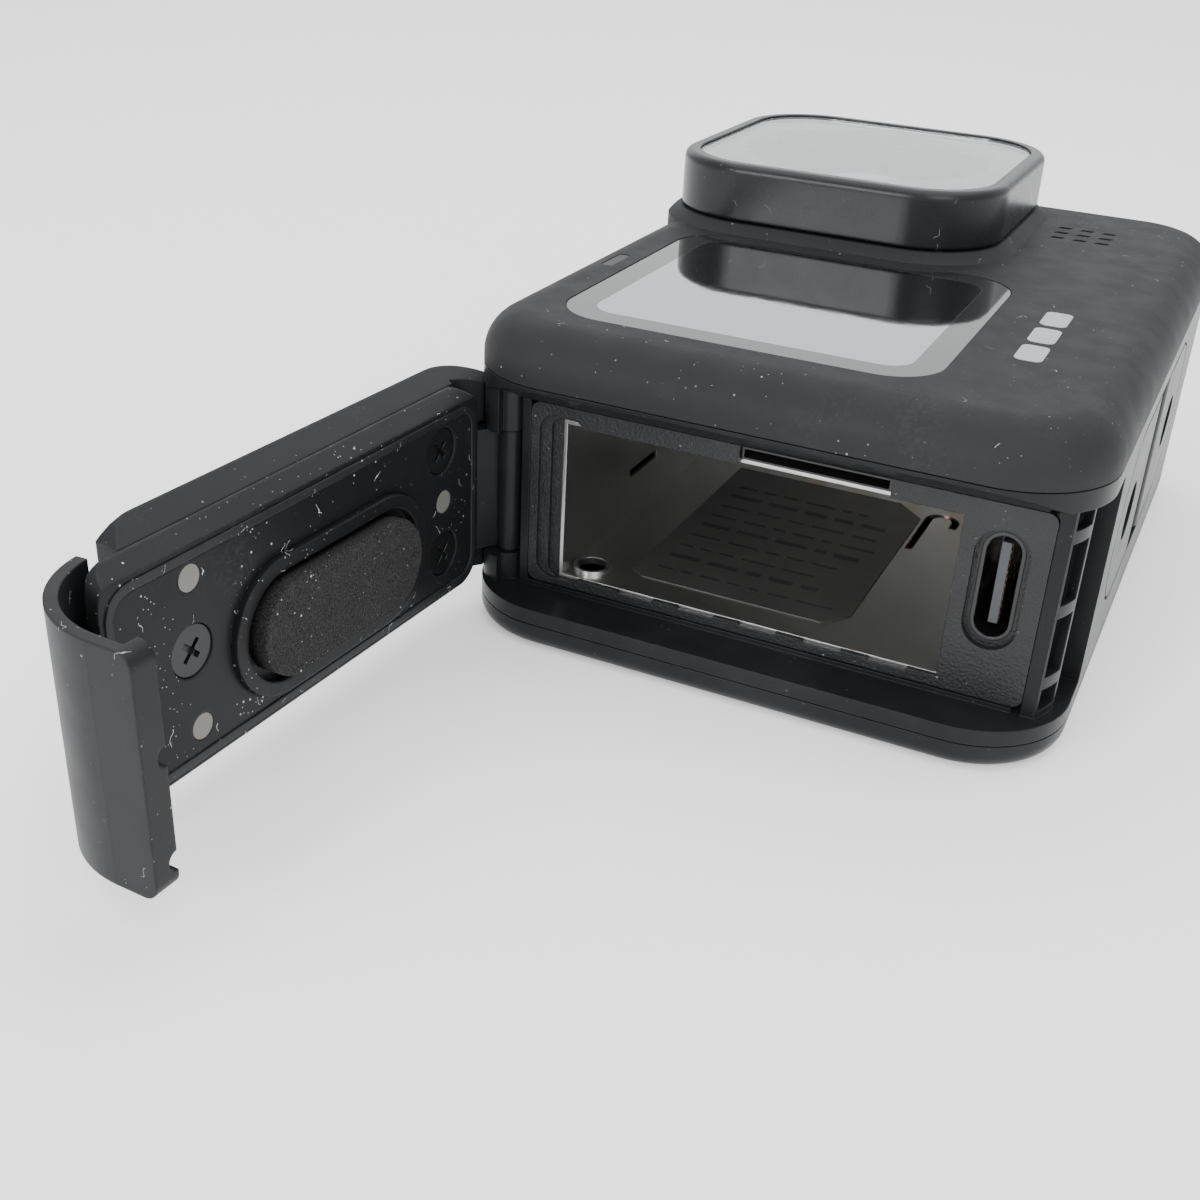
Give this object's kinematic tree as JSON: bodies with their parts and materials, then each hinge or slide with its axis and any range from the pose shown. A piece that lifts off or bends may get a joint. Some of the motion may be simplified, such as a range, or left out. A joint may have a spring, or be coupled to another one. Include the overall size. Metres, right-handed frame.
{
  "type": "action camera",
  "caption": "Pocket action camera with front and rear screens, a removable square lens cover, a hinged battery door with a sliding latch, and folding mounting fingers.",
  "frame": {"origin": "centre of the rear face, on the rear screen glass", "axes": "+Z out of the front face along the lens axis, +X towards the folding mounting fingers, -X towards the shutter button, -Y out of the battery door side"},
  "size_m": [0.0552, 0.1161, 0.0336],
  "materials": {
    "moulded_black": "fine moulded",
    "textured_black": "coarse spark-eroded grain",
    "soft_touch_grey": "soft-touch, lightly dusty",
    "door_grey": "fine satin",
    "plate_dark": "satin, scuffed",
    "cover_satin": "satin",
    "screen_glass": "glossy black",
    "cover_glass": "clear coated",
    "lens_glass": "coated",
    "display_module": "polariser film",
    "dark_metal": "black anodised look",
    "plain_steel": "plain",
    "bay_steel": "dark nickel",
    "gold_contact": "gold plated",
    "circuit_board": "solder mask",
    "chip_black": "epoxy",
    "sensor_dark": "cover glass",
    "copper": "rolled copper",
    "connector_ivory": "moulded",
    "flex_amber": "film",
    "label_grey": "printed film",
    "gloss_black": "glossy",
    "tongue_grey": "moulded",
    "light_window": "translucent",
    "badge_silver": "satin silver",
    "button_red": "moulded",
    "seal_rubber": "silicone",
    "seal_red": "silicone",
    "foam_black": "open-cell foam",
    "screw_dark": "black oxide",
    "stake_grey": "flat discs"
  },
  "bodies": {
    "camera_body": {"rear_bezel": "moulded_black", "rear_touch_glass": "screen_glass", "rear_display_panel": "display_module", "mid_frame": "moulded_black", "side_panel": "textured_black", "front_housing": "soft_touch_grey", "front_display_glass": "screen_glass", "front_display_panel": "display_module", "lens_mount_ring": "dark_metal", "lens_barrel": "dark_metal", "lens_front_element": "lens_glass", "lens_rear_elements": "lens_glass", "image_sensor": "sensor_dark", "sensor_board": "circuit_board", "main_board": "circuit_board", "processor": "chip_black", "memory_chips": "chip_black", "shield_can": "plain_steel", "heat_spreader": "copper", "board_connectors": "connector_ivory", "display_flex": "flex_amber", "sensor_flex": "flex_amber", "battery_cage": "bay_steel", "battery_contacts": "gold_contact", "contact_block": "moulded_black", "rating_label": "label_grey", "card_socket": "dark_metal", "usb_shell": "gloss_black", "usb_tongue": "tongue_grey", "speaker": "chip_black", "front_microphone": "gold_contact", "mic_mesh": "dark_metal", "status_light": "light_window", "badge": "badge_silver", "housing_screws": "plain_steel", "hinge_pin": "plain_steel", "finger_pins": "plain_steel", "shutter_switch": "connector_ivory", "mode_switch": "connector_ivory"},
    "shutter": {"shutter_button": "door_grey", "shutter_button_ring": "button_red"},
    "mode": {"mode_button": "door_grey"},
    "finger_left": {"left_finger": "moulded_black"},
    "finger_right": {"right_finger": "moulded_black"},
    "door": {"door_shell": "door_grey", "door_plate": "plate_dark", "door_hinge_arm": "moulded_black", "door_seal": "seal_rubber", "door_pad_ring": "plate_dark", "foam_pad": "foam_black", "door_screws": "screw_dark", "door_stakes": "stake_grey"},
    "latch": {"door_latch": "door_grey"},
    "cover_base": {"cover_collar": "dark_metal", "cover_seal": "seal_red"},
    "lens_cover": {"lens_cover_frame": "cover_satin", "lens_cover_glass": "cover_glass"}
  },
  "joints": [
    {"name": "door_hinge", "type": "hinge", "parent": "camera_body", "child": "door", "pos_m": [-0.0224, -0.0306, 0.0116], "axis": [0, 0, 1], "range_deg": [0, 93]},
    {"name": "latch_slide", "type": "slide", "parent": "door", "child": "latch", "axis": [0.0523, 0.9986, 0], "range_m": [0, 0.0013]},
    {"name": "left_finger_fold", "type": "hinge", "parent": "camera_body", "child": "finger_left", "pos_m": [0.0239, -0.0031, 0.0136], "axis": [0, 0, 1], "range_deg": [0, 90]},
    {"name": "right_finger_fold", "type": "hinge", "parent": "camera_body", "child": "finger_right", "pos_m": [0.0239, 0.0031, 0.0136], "axis": [0, 0, -1], "range_deg": [0, 90]},
    {"name": "shutter_press", "type": "slide", "parent": "camera_body", "child": "shutter", "axis": [1, 0, 0], "range_m": [0, 0.0005], "stiffness_N_per_m": 1500},
    {"name": "mode_press", "type": "slide", "parent": "camera_body", "child": "mode", "axis": [0, -1, 0], "range_m": [0, 0.0004], "stiffness_N_per_m": 1500},
    {"name": "cover_pull", "type": "slide", "parent": "camera_body", "child": "cover_base", "axis": [0, 0, 1], "range_m": [0, 0.007]},
    {"name": "cover_twist", "type": "hinge", "parent": "cover_base", "child": "lens_cover", "pos_m": [-0.00865, 0.01855, 0.031], "axis": [0, 0, 1], "range_deg": [0, 45]}
  ]
}
